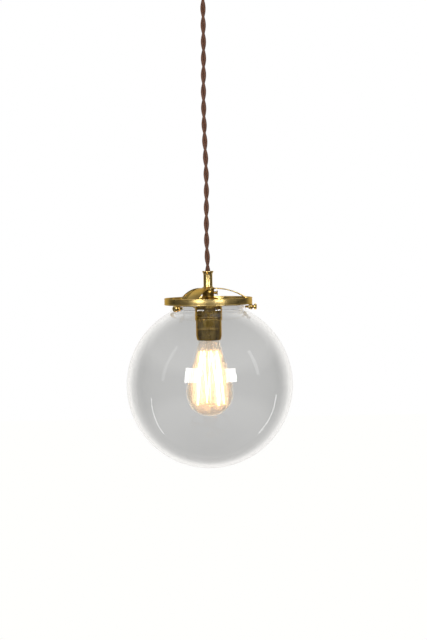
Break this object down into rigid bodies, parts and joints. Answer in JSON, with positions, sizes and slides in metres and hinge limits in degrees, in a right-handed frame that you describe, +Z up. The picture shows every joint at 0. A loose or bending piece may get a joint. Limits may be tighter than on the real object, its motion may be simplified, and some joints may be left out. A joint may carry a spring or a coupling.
{
  "type": "pendant ceiling light",
  "caption": "Clear glass globe hung in a three-armed brass gallery on a twisted cloth flex, with a brass lampholder, a cage-filament bulb and a ceiling cup.",
  "frame": {"origin": "centre of the ceiling bracket's back, on the ceiling and on the lamp's axis", "axes": "+Z up out of the ceiling face, along the lamp's axis; -Y is the front and +X the right seen from the front"},
  "size_m": [0.2, 0.2, 0.628],
  "materials": {
    "polished_brass": "polished",
    "aged_brass": "antique, satin",
    "zinc_steel": "zinc plated",
    "flex_cloth": "woven rayon over twisted cores",
    "core_brown": "insulation",
    "core_blue": "insulation",
    "clear_glass": "clear, blown",
    "bulb_glass": "clear, thin",
    "porcelain": "glazed",
    "black_glass": "vitrified insulator",
    "solder": "tinned",
    "cap_brass": "rolled",
    "fibre": "pressed fibre",
    "tungsten": "glowing carbonised filament",
    "support_wire": "molybdenum"
  },
  "bodies": {
    "ceiling": {"ceiling_bracket": "zinc_steel", "canopy": "polished_brass", "canopy_screw_left": "polished_brass", "canopy_screw_right": "polished_brass", "canopy_bush": "polished_brass", "bush_locknut": "zinc_steel", "terminal_block": "porcelain", "terminal_block_screws": "zinc_steel", "canopy_live_lead": "core_brown", "canopy_neutral_lead": "core_blue", "cord_tail": "flex_cloth"},
    "flexing_cord": {"cord_bend": "flex_cloth"},
    "hanging_cord": {"cord": "flex_cloth"},
    "lamp": {"cord_tube": "polished_brass", "gallery_hub": "polished_brass", "gallery_arm_front": "polished_brass", "gallery_arm_right": "polished_brass", "gallery_arm_back": "polished_brass", "gallery_ring": "polished_brass", "screw_lug_left": "polished_brass", "screw_lug_right": "polished_brass", "screw_lug_back": "polished_brass", "holder_cap": "aged_brass", "cap_rivet": "aged_brass", "holder_locknut": "zinc_steel", "porcelain_base": "porcelain", "live_terminal": "cap_brass", "neutral_terminal": "cap_brass", "terminal_screws": "zinc_steel", "live_lead": "core_brown", "neutral_lead": "core_blue", "contact_shell": "cap_brass", "centre_contact": "cap_brass", "insulating_liner": "fibre", "holder_shell": "aged_brass", "glass_globe": "clear_glass"},
    "left_globe_screw": {"globe_screw_left": "polished_brass"},
    "right_globe_screw": {"globe_screw_right": "polished_brass"},
    "back_globe_screw": {"globe_screw_back": "polished_brass"},
    "neck_thumb_screw": {"neck_screw": "aged_brass"},
    "bulb_tip": {"bulb_contact": "solder"},
    "bulb": {"bulb_insulator": "black_glass", "bulb_cap": "cap_brass", "bulb_glass": "bulb_glass", "bulb_stem": "bulb_glass", "bulb_lead_wires": "support_wire", "filament_supports": "support_wire", "filament": "tungsten"}
  },
  "joints": [
    {"name": "swing_sideways", "type": "hinge", "parent": "ceiling", "child": "flexing_cord", "pos_m": [0, 0, -0.054], "axis": [0, 1, 0], "range_deg": [-30, 30]},
    {"name": "swing_to_and_fro", "type": "hinge", "parent": "flexing_cord", "child": "hanging_cord", "pos_m": [0, 0, -0.054], "axis": [1, 0, 0], "range_deg": [-30, 30]},
    {"name": "lamp_turn", "type": "hinge", "parent": "hanging_cord", "child": "lamp", "pos_m": [0, 0, -0.391], "axis": [0, 0, 1], "range_deg": [-180, 180]},
    {"name": "left_globe_screw_out", "type": "slide", "parent": "lamp", "child": "left_globe_screw", "axis": [-0.682, -0.7314, 0], "range_m": [0, 0.005]},
    {"name": "right_globe_screw_out", "type": "slide", "parent": "lamp", "child": "right_globe_screw", "axis": [0.9744, -0.225, 0], "range_m": [0, 0.005]},
    {"name": "back_globe_screw_out", "type": "slide", "parent": "lamp", "child": "back_globe_screw", "axis": [-0.2924, 0.9563, 0], "range_m": [0, 0.005]},
    {"name": "neck_screw_out", "type": "slide", "parent": "lamp", "child": "neck_thumb_screw", "axis": [1, 0, 0], "range_m": [0, 0.0025]},
    {"name": "bulb_travel", "type": "slide", "parent": "lamp", "child": "bulb_tip", "axis": [0, 0, -1], "range_m": [0, 0.0109]},
    {"name": "bulb_turn", "type": "hinge", "parent": "bulb_tip", "child": "bulb", "pos_m": [0, 0, -0.46], "axis": [0, 0, -1], "range_deg": [0, 1080]}
  ],
  "couplings": [
    {"joint": "bulb_travel", "follows": "bulb_turn", "m_per_rad": 0.00057614}
  ]
}
